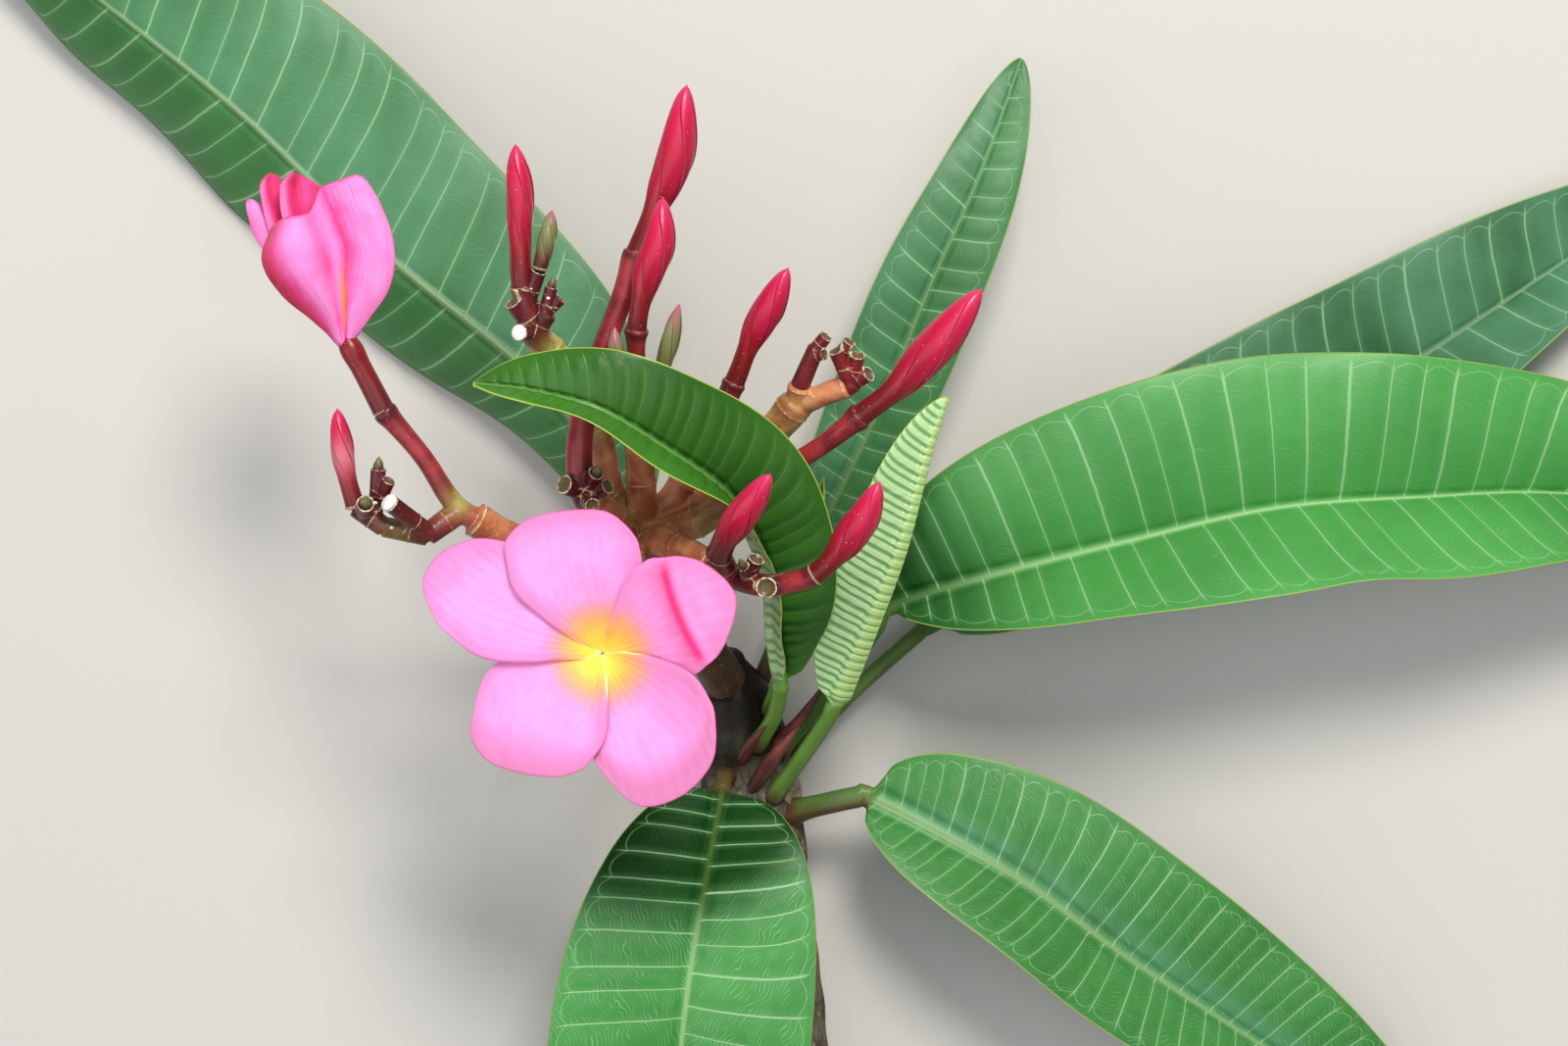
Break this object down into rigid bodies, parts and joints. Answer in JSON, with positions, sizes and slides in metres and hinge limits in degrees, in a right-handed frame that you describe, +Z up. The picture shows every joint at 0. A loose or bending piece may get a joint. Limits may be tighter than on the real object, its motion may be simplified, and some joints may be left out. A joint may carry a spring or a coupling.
{
  "type": "plumeria flower cluster",
  "caption": "Cut plumeria branch tip lying on its back: a thick branch, long leaves, and a branching stalk with an open pink flower, an opening one, buds and stubs.",
  "frame": {"origin": "on the table, under the middle of the part's outline seen from above", "axes": "+X to the right across the branch, +Y from the cut end of the branch towards the flowers, +Z up off the table"},
  "size_m": [0.517, 0.4318, 0.1285],
  "materials": {
    "leaf": "satin",
    "young_leaf": "satin",
    "bark": "matte",
    "flower_stalk": "satin",
    "red_stalk": "satin",
    "bud": "satin",
    "green_bud": "satin",
    "petal": "matte"
  },
  "bodies": {
    "root": {"branch": "bark", "leaf_upper_left": "leaf", "leaf_top": "leaf", "leaf_right_back": "leaf", "leaf_right": "leaf", "leaf_folded": "young_leaf", "leaf_arching": "young_leaf", "leaf_young": "young_leaf", "leaf_bottom": "leaf", "leaf_lower_right": "leaf", "flower_stalk": "flower_stalk", "red_stalk_left": "red_stalk", "red_stalk_upper_left": "red_stalk", "red_stalk_tall": "red_stalk", "red_stalk_middle": "red_stalk", "red_stalk_behind": "red_stalk", "red_stalk_right": "red_stalk", "red_stalk_lower_right": "red_stalk", "red_stalk_open_flower": "red_stalk", "red_stubs_fork_upper": "red_stalk", "red_stubs_fork_right": "red_stalk", "bud_upper_left": "bud", "bud_tall": "bud", "bud_middle": "bud", "bud_behind": "bud", "bud_right": "bud", "bud_lower_right": "bud", "bud_lower_left": "bud", "bud_front": "bud", "bud_small_left": "green_bud", "bud_small_middle": "green_bud", "bud_small_front": "green_bud", "open_flower": "petal", "opening_flower": "petal"}
  },
  "joints": []
}
